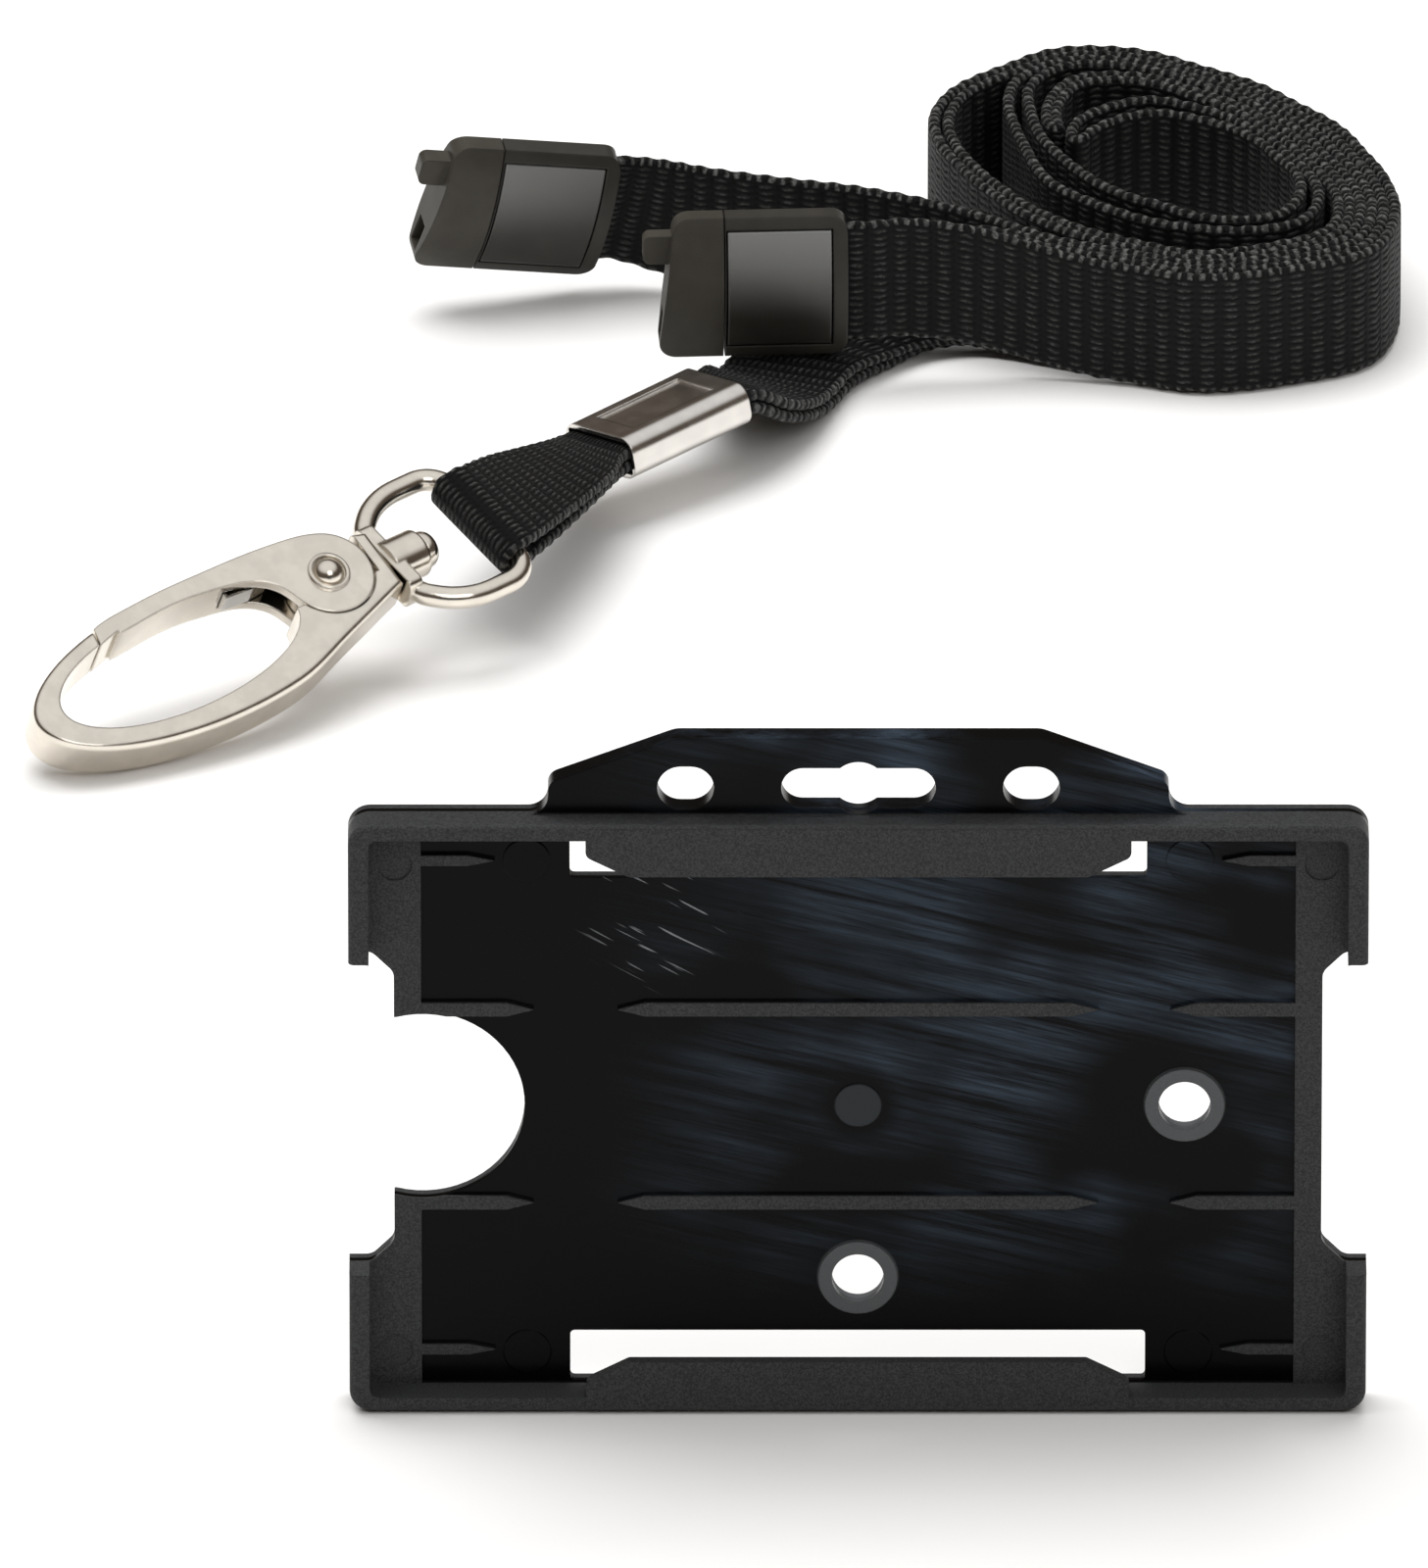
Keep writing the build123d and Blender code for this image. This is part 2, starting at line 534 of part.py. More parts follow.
def lid_space(grow):
    """The window of the front face that the clamping lid fills."""
    return box_between((SEAM_X + 0.3 - grow, 1.3 - grow, SLOT_THICKNESS / 2 - grow / 4),
                       (CLIP_LENGTH - 1.5 + grow, CLIP_HEIGHT - 1.3 + grow, 5))


def clip_shell():
    """The rim and back of the half, open at the front for the lid and at the end for the webbing."""
    shell = clip_envelope() & box_between((SEAM_X + SEAM_GAP / 2, -1, -5), (CLIP_LENGTH + 1, CLIP_HEIGHT + 1, 5))
    return shell - lid_space(0.15) - web_slot()


def clip_lid():
    """The smooth panel that clamps the webbing."""
    lid = clip_envelope() & lid_space(-0.02)
    return lid - web_slot()


PARTS = {
    "card_holder": card_holder,
    "webbing_coil": webbing_coil,
    "webbing_front_end": webbing_front_end,
    "webbing_back_end": webbing_back_end,
    "webbing_neck": webbing_neck,
    "webbing_loop": webbing_loop,
    "ferrule": ferrule,
    "swivel_yoke": swivel_yoke,
    "swivel_pin": swivel_pin,
    "hook_body": hook_body,
    "hook_gate": hook_gate,
    "gate_rivet": gate_rivet,
    "gate_spring": gate_spring,
}
CLIP_PARTS = {"core": clip_core, "shell": clip_shell, "lid": clip_lid}
CLIP_FRAMES = {"front": CLIP_FRONT_FRAME, "back": CLIP_BACK_FRAME}

os.makedirs("parts", exist_ok=True)
for node, make in PARTS.items():
    export_step(make(), "parts/" + node + ".step")
for place, frame in CLIP_FRAMES.items():
    for piece, make in CLIP_PARTS.items():
        export_step(frame.location * make(), "parts/breakaway_" + place + "_" + piece + ".step")
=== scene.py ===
import math

import bpy
import numpy as np
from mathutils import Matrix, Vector


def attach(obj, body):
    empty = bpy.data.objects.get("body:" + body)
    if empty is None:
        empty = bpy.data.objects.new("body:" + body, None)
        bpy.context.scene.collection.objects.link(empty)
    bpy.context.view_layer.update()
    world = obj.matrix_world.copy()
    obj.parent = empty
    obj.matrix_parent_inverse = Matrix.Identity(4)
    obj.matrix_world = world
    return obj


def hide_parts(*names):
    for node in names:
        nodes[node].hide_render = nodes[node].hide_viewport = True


# Looks for the lanyard badge holder.  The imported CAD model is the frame: its nodes keep their shapes and get
# materials, and the strap, which the frame holds as five solids, is drawn as one ribbed strip of webbing.
# Everything is in metres in the frame's own axes; the strap's route is written in millimetres.

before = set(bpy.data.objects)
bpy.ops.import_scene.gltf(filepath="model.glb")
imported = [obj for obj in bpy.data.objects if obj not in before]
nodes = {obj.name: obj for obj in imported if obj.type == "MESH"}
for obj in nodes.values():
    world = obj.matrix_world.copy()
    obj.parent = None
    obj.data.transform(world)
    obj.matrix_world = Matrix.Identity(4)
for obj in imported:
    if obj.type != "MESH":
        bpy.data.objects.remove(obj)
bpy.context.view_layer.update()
MM = 0.001

# ---- camera ---------------------------------------------------------------------------------------------
TARGET = Vector((-0.0127, 0.1292, 0.0))
CAMERA_DISTANCE = 4.4
CAMERA_ELEVATION = math.radians(25)
LENS = 1112.0


def make_camera():
    data = bpy.data.cameras.new("camera")
    data.lens = LENS
    data.sensor_width = 36.0
    data.clip_start = 0.1
    data.clip_end = 60.0
    camera = bpy.data.objects.new("camera", data)
    back = Vector((0, -math.cos(CAMERA_ELEVATION), math.sin(CAMERA_ELEVATION)))
    camera.location = TARGET + back * CAMERA_DISTANCE
    camera.rotation_euler = (math.radians(90) - CAMERA_ELEVATION, 0, 0)
    bpy.context.scene.collection.objects.link(camera)
    bpy.context.scene.camera = camera


make_camera()

# ---- the strap's route (millimetres) --------------------------------------------------------------------
STRAP_WIDTH = 11.9
STRAP_THICKNESS = 1.15
RIB_PITCH = 2.1
STEP = 0.35
COIL_HEART = (30.0, 241.0)
FLAT_Z = 6.05

# Each row is an angle about the coil's heart and how far from the heart the four plies are there, from the
# outermost ply to the innermost.  Angles past 610 are the second time round.
COIL_PLIES = (
    (263, 24.7, 23.6, 22.5, 21.5),
    (276, 26.3, 25.2, 24.2, 23.2),
    (295, 26.5, 25.4, 24.3, 23.2),
    (308, 27.1, 26.0, 24.8, 23.6),
    (329, 23.7, 22.5, 21.3, 20.1),
    (348, 20.0, 18.8, 17.6, 16.4),
    (371, 17.4, 16.2, 15.0, 13.8),
    (403, 16.9, 15.8, 14.7, 13.6),
    (426, 18.9, 17.8, 16.7, 15.6),
    (442, 21.0, 19.9, 18.8, 17.7),
    (459, 25.3, 24.1, 22.9, 21.7),
    (474, 27.2, 26.1, 25.0, 23.9),
    (487, 26.2, 25.0, 23.7, 21.9),
    (499, 26.0, 24.8, 20.3, 17.5),
    (512, 24.9, 23.5, 16.6, 14.2),
    (530, 21.9, 20.5, 13.8, 11.0),
    (547, 19.4, 18.2, 12.8, 9.4),
    (567, 18.2, 17.0, 12.3, 8.7),
    (586, 18.3, 17.1, 12.0, 8.6),
    (606, 19.1, 17.9, 12.6, 9.2),
    (623, 20.3, 19.2, 13.9, 9.9),
    (636, 22.1, 21.0, 15.0, 12.0),
    (655, 22.1, 21.0, 17.0, 14.5),
    (668, 22.4, 21.2, 17.8, 15.3),
    (689, 18.9, 17.7, 15.6, 13.6),
    (708, 15.2, 14.0, 12.8, 11.6),
    (731, 12.7, 11.6, 10.5, 9.4),
    (763, 12.5, 11.4, 10.3, 9.2),
    (786, 14.2, 13.1, 11.5, 9.6),
    (802, 16.0, 14.9, 12.6, 10.2),
    (819, 19.6, 18.4, 14.2, 11.2),
    (834, 21.0, 19.8, 13.8, 11.0),
    (847, 18.6, 17.4, 13.2, 10.6),
    (859, 15.6, 14.4, 12.4, 10.3),
    (868, 13.2, 12.0, 11.2, 9.9),
)
OUTER_FOLD = 868
INNER_FOLD = 872
UP = Vector((0, 0, 1))


def travel_frame(origin, heading, pitch, roll):
    """Origin, along, across and above directions of something that lies along a heading."""
    h, p, r = (math.radians(a) for a in (heading, pitch, roll))
    along = Vector((math.cos(h) * math.cos(p), math.sin(h) * math.cos(p), math.sin(p)))
    level = Vector((-math.sin(h), math.cos(h), 0))
    above = along.cross(level) * math.cos(r) - level * math.sin(r)
    return Vector(origin), along, above.cross(along), above


FERRULE = travel_frame((-23.1, 188.7, 6.0), 41.0, 5.5, -8.0)
FERRULE_LENGTH = 14.2
FERRULE_HOLD_WIDTH = 8.4
YOKE = travel_frame((-74.84, 131.2, 4.3), 37.0, 7.5, 20.0)
BAR_X = 51.9
BAR_R = 1.05
CLIP_REACH = (8, 11, 14, 17.6, 20)


def smooth_curve(xs, ys, where):
    """A smooth curve through rising xs, without overshoot (cubic pieces with limited slopes)."""
    xs, ys = np.asarray(xs, float), np.asarray(ys, float)
    h = np.diff(xs)
    d = np.diff(ys) / h
    slope = np.zeros_like(ys)
    for i in range(1, len(xs) - 1):
        if d[i - 1] * d[i] > 0:
            a, b = 2 * h[i] + h[i - 1], h[i] + 2 * h[i - 1]
            slope[i] = (a + b) / (a / d[i - 1] + b / d[i])
    slope[0], slope[-1] = d[0], d[-1]
    k = np.clip(np.searchsorted(xs, where) - 1, 0, len(h) - 1)
    t = (where - xs[k]) / h[k]
    return ((1 + 2 * t) * (1 - t) ** 2 * ys[k] + t * (1 - t) ** 2 * h[k] * slope[k]
            + t * t * (3 - 2 * t) * ys[k + 1] + t * t * (t - 1) * h[k] * slope[k + 1])


def coil_ply(ply, last):
    """Stations (centre, width direction, width) of one ply, from where it enters the coil to its fold."""
    angles = [row[0] for row in COIL_PLIES]
    radii = [row[ply + 1] for row in COIL_PLIES]
    where = np.arange(angles[0], last + 0.1, 3.0)
    if last > angles[-1]:
        angles, radii = angles + [last + 4], radii + [radii[-1] - 0.3]
    r = smooth_curve(angles, radii, where)
    stations = []
    for angle, radius in zip(np.radians(where), r):
        x = COIL_HEART[0] + radius * math.cos(angle)
        y = COIL_HEART[1] + radius * math.sin(angle)
        stations.append((Vector((x, y, FLAT_Z)), UP, STRAP_WIDTH))
    return stations


def clip_stations(origin, along, face, reach):
    """The strap inside and just behind a breakaway half, from its far end."""
    along, face = Vector(along).normalized(), Vector(face).normalized()
    up = face.cross(along).normalized()
    return [(Vector(origin) + along * x + up * 7.0, up, STRAP_WIDTH - 0.1) for x in reach]


def front_end():
    route = [(5.0, 218.7, 10.0), (11.2, 218.6, 9.2), (17.6, 218.3, 7.4), (22.4, 217.5, 6.4)]
    clip = clip_stations((-18.0, 216.4, 3.25), (0.998, 0.055, 0), (0.055, -0.998, 0), CLIP_REACH)
    return clip + [(Vector(p), UP, STRAP_WIDTH) for p in route]


def back_end():
    route = [(-13.5, 237.4, 6.7), (-6.0, 236.2, 6.15), (0.0, 234.7, 6.1), (5.2, 232.6, FLAT_Z),
             (10.2, 229.9, FLAT_Z), (14.8, 226.5, FLAT_Z), (19.0, 223.3, FLAT_Z)]
    clip = clip_stations((-41.2, 234.0, 4.9), (0.94, 0.26, -0.16), (0.19, -0.95, -0.25), CLIP_REACH)
    return clip + [(Vector(p), UP, STRAP_WIDTH) for p in route]


def neck(side):
    """One ply of the doubled neck, from the coil to the ferrule.  side is 1 for the upper ply."""
    middle = [((18.6, 222.0, 6.05), (-0.04, 0.06, 1.0), 11.9),
              ((14.0, 224.3, 6.05), (-0.1, 0.15, 0.98), 11.9),
              ((9.0, 226.0, 5.7), (-0.4, 0.35, 0.85), 11.9), ((3.2, 225.6, 4.3), (-0.66, 0.5, 0.56), 11.9),
              ((-1.5, 222.0, 2.4), (-0.86, 0.45, 0.22), 11.9), ((-5.0, 217.5, 1.5), (-0.92, 0.38, 0.0), 11.9),
              ((-6.8, 212.4, 1.7), (-0.92, 0.38, 0.0), 11.8), ((-8.0, 207.2, 3.2), (-0.86, 0.5, 0.03), 11.3),
              ((-9.8, 202.4, 5.6), (-0.78, 0.62, 0.08), 10.4)]
    origin, along, across, above = FERRULE
    for x in (FERRULE_LENGTH + 1.2, FERRULE_LENGTH - 1, FERRULE_LENGTH / 2, 1.0, -1.0):
        centre = origin + along * x
        width = FERRULE_HOLD_WIDTH + (0.9 if x > FERRULE_LENGTH or x < 0 else 0)
        middle.append((tuple(centre), tuple(across), width))
    stations = []
    for i, (centre, across, width) in enumerate(middle):
        ahead = Vector(middle[min(i + 1, len(middle) - 1)][0]) - Vector(middle[max(i - 1, 0)][0])
        normal = Vector(across).cross(ahead).normalized()
        stations.append((Vector(centre) + normal * (side * STRAP_THICKNESS * 0.52), Vector(across), width))
    return stations


def loop():
    """The turn round the yoke's bar, from the ferrule and back to it."""
    origin, along, across, above = YOKE
    bar = origin + along * BAR_X
    mouth = FERRULE[0]
    outward = (bar - mouth).normalized()
    outward = (outward - across * outward.dot(across)).normalized()
    lift = outward.cross(across)
    if lift.z < 0:
        lift = -lift
    wrap = BAR_R + 0.12 + STRAP_THICKNESS / 2

    def leg(sign):
        """Straight from the ferrule's mouth to the bar; the section stays parallel to what holds it."""
        stations = []
        for share, spread, width in ((0.78, 0.75, 10.2), (0.52, 1.1, 10.9), (0.26, 1.55, 11.3)):
            centre = bar.lerp(mouth, share) + lift * (sign * spread)
            stations.append((centre, across.lerp(FERRULE[2], share), width))
        return stations

    turn = []
    for step in range(7):
        angle = math.radians(90 - 30 * step)
        centre = bar + outward * (wrap * math.cos(angle)) + lift * (wrap * math.sin(angle))
        turn.append((centre, across, 11.2))
    return leg(1) + turn + leg(-1)[::-1]


def whole_strap():
    """Every station of the strap, from the front breakaway half to the back one."""
    first, second = coil_ply(0, OUTER_FOLD), coil_ply(1, OUTER_FOLD)
    third, fourth = coil_ply(2, INNER_FOLD), coil_ply(3, INNER_FOLD)
    inward = front_end() + first
    upper = second[::-1] + neck(1)
    lower = neck(-1)[::-1] + third
    outward = fourth[::-1] + back_end()[::-1]
    return inward + upper + loop() + lower + outward


def even_steps(stations):
    """Centres, width directions and widths at even steps along a smooth line through the stations."""
    points = np.array([tuple(s[0]) for s in stations])
    across = np.array([tuple(s[1]) for s in stations])
    width = np.array([s[2] for s in stations])
    chord = np.concatenate([[0], np.cumsum(np.linalg.norm(np.diff(points, axis=0), axis=1) ** 0.5)])
    fine = np.linspace(0, chord[-1], len(points) * 24)
    columns = [points[:, i] for i in range(3)] + [across[:, i] for i in range(3)] + [width]
    curves = np.stack([catmull(chord, c, fine) for c in columns], axis=1)
    run = np.concatenate([[0], np.cumsum(np.linalg.norm(np.diff(curves[:, :3], axis=0), axis=1))])
    count = int(run[-1] / STEP)
    at = np.linspace(0, run[-1], count)
    rows = np.stack([np.interp(at, run, curves[:, i]) for i in range(7)], axis=1)
    rows = soften(rows, 3)
    return rows[:, :3], rows[:, 3:6], rows[:, 6], at


def catmull(xs, ys, where):
    """A smooth curve through the points, whose slope at each is that between its neighbours."""
    h = np.diff(xs)
    slope = np.empty_like(ys)
    slope[1:-1] = (ys[2:] - ys[:-2]) / (xs[2:] - xs[:-2])
    slope[0], slope[-1] = (ys[1] - ys[0]) / h[0], (ys[-1] - ys[-2]) / h[-1]
    k = np.clip(np.searchsorted(xs, where) - 1, 0, len(h) - 1)
    t = (where - xs[k]) / h[k]
    return ((1 + 2 * t) * (1 - t) ** 2 * ys[k] + t * (1 - t) ** 2 * h[k] * slope[k]
            + t * t * (3 - 2 * t) * ys[k + 1] + t * t * (t - 1) * h[k] * slope[k + 1])


def soften(rows, times):
    """Each pass moves every row halfway to its neighbours' middle, so that joins between runs are smooth."""
    for _ in range(times * 4):
        rows = rows.copy()
        rows[1:-1] = rows[1:-1] * 0.5 + (rows[:-2] + rows[2:]) * 0.25
    return rows


# ---- the strap's mesh -----------------------------------------------------------------------------------
FACE_COLUMNS = 16
RIB_HEIGHT = 0.1
SCALLOP = 0.09


def cross_section():
    """Points round the strap's section: (share of half width, share of half thickness, across in mm)."""
    half = STRAP_WIDTH / 2
    face = [(-1 + 2 * i / FACE_COLUMNS) * 0.93 for i in range(FACE_COLUMNS + 1)]
    top = [(a, 1.0 - 0.12 * a ** 8, a * half) for a in face]
    right = [(0.985, 0.55, half + 0.1), (1.0, 0.0, half + 0.3), (0.985, -0.55, half + 0.1)]
    bottom = [(a, -b, v) for a, b, v in reversed(top)]
    left = [(-a, -b, -v) for a, b, v in right]
    return top + right + bottom + left


def make_strap():
    centres, across, widths, run = even_steps(whole_strap())
    tangent = np.gradient(centres, axis=0)
    tangent /= np.linalg.norm(tangent, axis=1)[:, None]
    across /= np.linalg.norm(across, axis=1)[:, None]
    normal = np.cross(tangent, across)
    normal /= np.linalg.norm(normal, axis=1)[:, None]
    rib = np.cos(2 * np.pi * run / RIB_PITCH)
    section = cross_section()
    ring = len(section)
    count = len(centres)
    points = np.empty((count, ring, 3))
    for j, (a, b, _) in enumerate(section):
        flat = 1 - abs(a) ** 6
        side = a * (widths / 2 + SCALLOP * rib * abs(a) ** 6)
        rise = b * (STRAP_THICKNESS / 2 + RIB_HEIGHT * (rib - 1) * 0.5 * flat)
        points[:, j] = centres + across * side[:, None] + normal * rise[:, None]
    faces = []
    for i in range(count - 1):
        for j in range(ring):
            k = (j + 1) % ring
            faces.append((i * ring + j, i * ring + k, (i + 1) * ring + k, (i + 1) * ring + j))
    faces.append(tuple(range(ring)))
    faces.append(tuple((count - 1) * ring + j for j in reversed(range(ring))))
    mesh = bpy.data.meshes.new("webbing")
    mesh.from_pydata((points.reshape(-1, 3) * MM).tolist(), [], faces)
    layer = mesh.uv_layers.new(name="strap")
    coords = np.zeros((len(mesh.loops), 2), np.float32)
    verts = np.empty(len(mesh.loops), np.int32)
    mesh.loops.foreach_get("vertex_index", verts)
    spread = np.array([s[2] for s in section])
    coords[:, 0] = run[verts // ring]
    coords[:, 1] = spread[verts % ring]
    layer.data.foreach_set("uv", coords.ravel())
    mesh.polygons.foreach_set("use_smooth", np.ones(len(mesh.polygons), bool))
    mesh.update()
    strap = bpy.data.objects.new("webbing", mesh)
    bpy.context.scene.collection.objects.link(strap)
    return strap, run[-1]


# ---- node helpers ---------------------------------------------------------------------------------------
class Nodes:
    """A short way to write a material's nodes."""

    def __init__(self, name):
        self.material = bpy.data.materials.new(name)
        self.material.use_nodes = True
        self.tree = self.material.node_tree
        self.shader = self.tree.nodes["Principled BSDF"]

    def node(self, kind, **settings):
        made = self.tree.nodes.new(kind)
        for key, value in settings.items():
            setattr(made, key, value)
        return made

    def put(self, value, socket):
        if isinstance(value, bpy.types.NodeSocket):
            self.tree.links.new(value, socket)
        else:
            socket.default_value = value

    def math(self, operation, a, b=0.0, clamp=False):
        made = self.node("ShaderNodeMath", operation=operation, use_clamp=clamp)
        self.put(a, made.inputs[0])
        self.put(b, made.inputs[1])
        return made.outputs[0]

    def wave(self, value, period):
        """A cosine of the given period, scaled to run from 0 to 1."""
        turned = self.math("COSINE", self.math("MULTIPLY", value, 2 * math.pi / period))
        return self.scaled(turned, 0.5, 0.5)

    def scaled(self, value, factor, offset):
        made = self.node("ShaderNodeMath", operation="MULTIPLY_ADD")
        self.put(value, made.inputs[0])
        made.inputs[1].default_value = factor
        made.inputs[2].default_value = offset
        return made.outputs[0]

    def between(self, value, low, high):
        """0 below low and 1 above high."""
        made = self.node("ShaderNodeMapRange", interpolation_type="SMOOTHSTEP")
        self.put(value, made.inputs["Value"])
        made.inputs["From Min"].default_value = low
        made.inputs["From Max"].default_value = high
        return made.outputs[0]

    def mix(self, share, a, b):
        made = self.node("ShaderNodeMix", data_type="RGBA")
        self.put(share, made.inputs[0])
        self.put(a if isinstance(a, bpy.types.NodeSocket) else (*a, 1), made.inputs[6])
        self.put(b if isinstance(b, bpy.types.NodeSocket) else (*b, 1), made.inputs[7])
        return made.outputs[2]

    def blend(self, share, a, b):
        made = self.node("ShaderNodeMix", data_type="FLOAT")
        self.put(share, made.inputs[0])
        self.put(a, made.inputs[2])
        self.put(b, made.inputs[3])
        return made.outputs[0]

    def place(self, stretch=(1, 1, 1), turn=(0, 0, 0)):
        """Position on the object in millimetres, stretched and turned."""
        coordinate = self.node("ShaderNodeTexCoord").outputs["Object"]
        mapping = self.node("ShaderNodeMapping")
        self.put(coordinate, mapping.inputs["Vector"])
        mapping.vector_type = "TEXTURE"
        mapping.inputs["Scale"].default_value = [MM / s for s in stretch]
        mapping.inputs["Rotation"].default_value = turn
        return mapping.outputs[0]

    def axes(self):
        made = self.node("ShaderNodeSeparateXYZ")
        self.put(self.place(), made.inputs[0])
        return made.outputs

    def noise(self, scale, detail=2.0, rough=0.5, stretch=(1, 1, 1), turn=(0, 0, 0)):
        made = self.node("ShaderNodeTexNoise")
        self.put(self.place(stretch, turn), made.inputs["Vector"])
        made.inputs["Scale"].default_value = scale
        made.inputs["Detail"].default_value = detail
        made.inputs["Roughness"].default_value = rough
        return made.outputs[0]

    def disc(self, x, z, heart, inner, outer):
        """1 within the inner radius of a point on the face and 0 beyond the outer."""
        across = self.math("POWER", self.math("SUBTRACT", x, heart[0]), 2.0)
        upward = self.math("POWER", self.math("SUBTRACT", z, heart[1]), 2.0)
        reach = self.math("SQRT", self.math("ADD", across, upward))
        return self.math("SUBTRACT", 1.0, self.between(reach, inner, outer))

    def bump(self, height, distance, strength=1.0, before=None):
        made = self.node("ShaderNodeBump")
        self.put(height, made.inputs["Height"])
        made.inputs["Distance"].default_value = distance * MM
        made.inputs["Strength"].default_value = strength
        if before is not None:
            self.put(before, made.inputs["Normal"])
        return made.outputs[0]

    def soft_edges(self, radius):
        made = self.node("ShaderNodeBevel", samples=6)
        made.inputs["Radius"].default_value = radius * MM
        return made.outputs[0]

    def finish(self, **values):
        names = {"colour": "Base Color", "roughness": "Roughness", "metallic": "Metallic", "normal": "Normal",
                 "specular": "Specular IOR Level", "sheen": "Sheen Weight",
                 "sheen_roughness": "Sheen Roughness"}
        for key, value in values.items():
            if key == "colour" and not isinstance(value, bpy.types.NodeSocket):
                value = (*value, 1)
            self.put(value, self.shader.inputs[names[key]])
        return self.material


# ---- materials ------------------------------------------------------------------------------------------
# Pale colour that the clip lids turn towards with height: a painted reflection of the bright light above.
PAINTED_LID_REFLECTION = (0.2, 0.2, 0.195)
ROW_PITCH = 0.66
DOT_PITCH = 1.05
SELVEDGE = (5.2, 5.7)
SIDE_HOLE = (28.8, 28.6)
LOWER_HOLE = (0.0, 11.75)
CENTRE_MARK = (0.0, 28.5)
COLLAR_EDGE = (3.4, 3.7)


def webbing_material():
    n = Nodes("webbing")
    uv = n.node("ShaderNodeUVMap", uv_map="strap")
    split = n.node("ShaderNodeSeparateXYZ")
    n.put(uv.outputs[0], split.inputs[0])
    along, side = split.outputs[0], split.outputs[1]
    wobble = n.math("MULTIPLY", n.noise(0.9, 2.0), 0.5)
    rib = n.wave(along, RIB_PITCH)
    rows = n.wave(n.math("ADD", side, wobble), ROW_PITCH)
    thread = n.math("MULTIPLY", n.math("POWER", rib, 0.6), rows)
    edge = n.between(n.math("ABSOLUTE", side), *SELVEDGE)
    dots = n.wave(n.math("ADD", along, n.math("MULTIPLY", wobble, 2.0)), DOT_PITCH)
    height = n.blend(edge, thread, dots)
    fleck = n.between(n.noise(2.2, 3.0, 0.7), 0.42, 0.62)
    # Painted highlight and shade: the colour is lighter on the raised threads and selvedge dots and darker in
    # the gaps between ribs; random flecks break up the painted highlight.
    light = n.math("MULTIPLY", n.between(height, 0.35, 0.95), n.scaled(fleck, 0.7, 0.3))
    face_colour = n.mix(light, (0.001, 0.001, 0.001), (0.058, 0.059, 0.056))
    edge_colour = n.mix(light, (0.003, 0.003, 0.003), (0.11, 0.11, 0.105))
    colour = n.mix(edge, face_colour, edge_colour)
    return n.finish(colour=colour, roughness=0.7, specular=0.2, sheen=0.04, sheen_roughness=0.4,
                    normal=n.bump(height, 0.28, 0.9))


def metal_material(name, colour, rough, soft):
    """Bright nickel plating with soft edges and a faint unevenness."""
    n = Nodes(name)
    cloud = n.noise(0.35, 3.0, 0.6)
    grain = n.noise(9.0, 2.0, 0.5)
    roughness = n.blend(cloud, rough * 0.7, rough * 1.5)
    tone = n.mix(n.between(cloud, 0.35, 0.7), tuple(c * 0.9 for c in colour), colour)
    bump = n.bump(n.noise(0.16, 2.0, 0.5), 0.05, 0.5, n.soft_edges(soft))
    return n.finish(colour=tone, roughness=roughness, metallic=1.0, normal=n.bump(grain, 0.004, 0.3, bump))


def plastic_material(name, colour, rough, grain_scale, grain_height, soft, specular=0.5, painted_reflection_heights=None):
    """Moulded plastic with a fine grain; the last argument, if given, is the heights between which a painted
    reflection turns it paler.
    """
    n = Nodes(name)
    grain = n.noise(grain_scale, 3.0, 0.6)
    cloud = n.noise(0.12, 3.0, 0.6)
    tone = n.mix(n.between(cloud, 0.3, 0.7), tuple(c * 0.8 for c in colour), tuple(c * 1.2 for c in colour))
    # Painted reflection: the colour turns paler with height, towards the pale lid colour.
    if painted_reflection_heights:
        tone = n.mix(n.between(n.axes()[2], *painted_reflection_heights), tone, PAINTED_LID_REFLECTION)
    roughness = n.blend(grain, rough * 0.85, rough * 1.15)
    return n.finish(colour=tone, roughness=roughness, specular=specular,
                    normal=n.bump(grain, grain_height, 0.6, n.soft_edges(soft)))


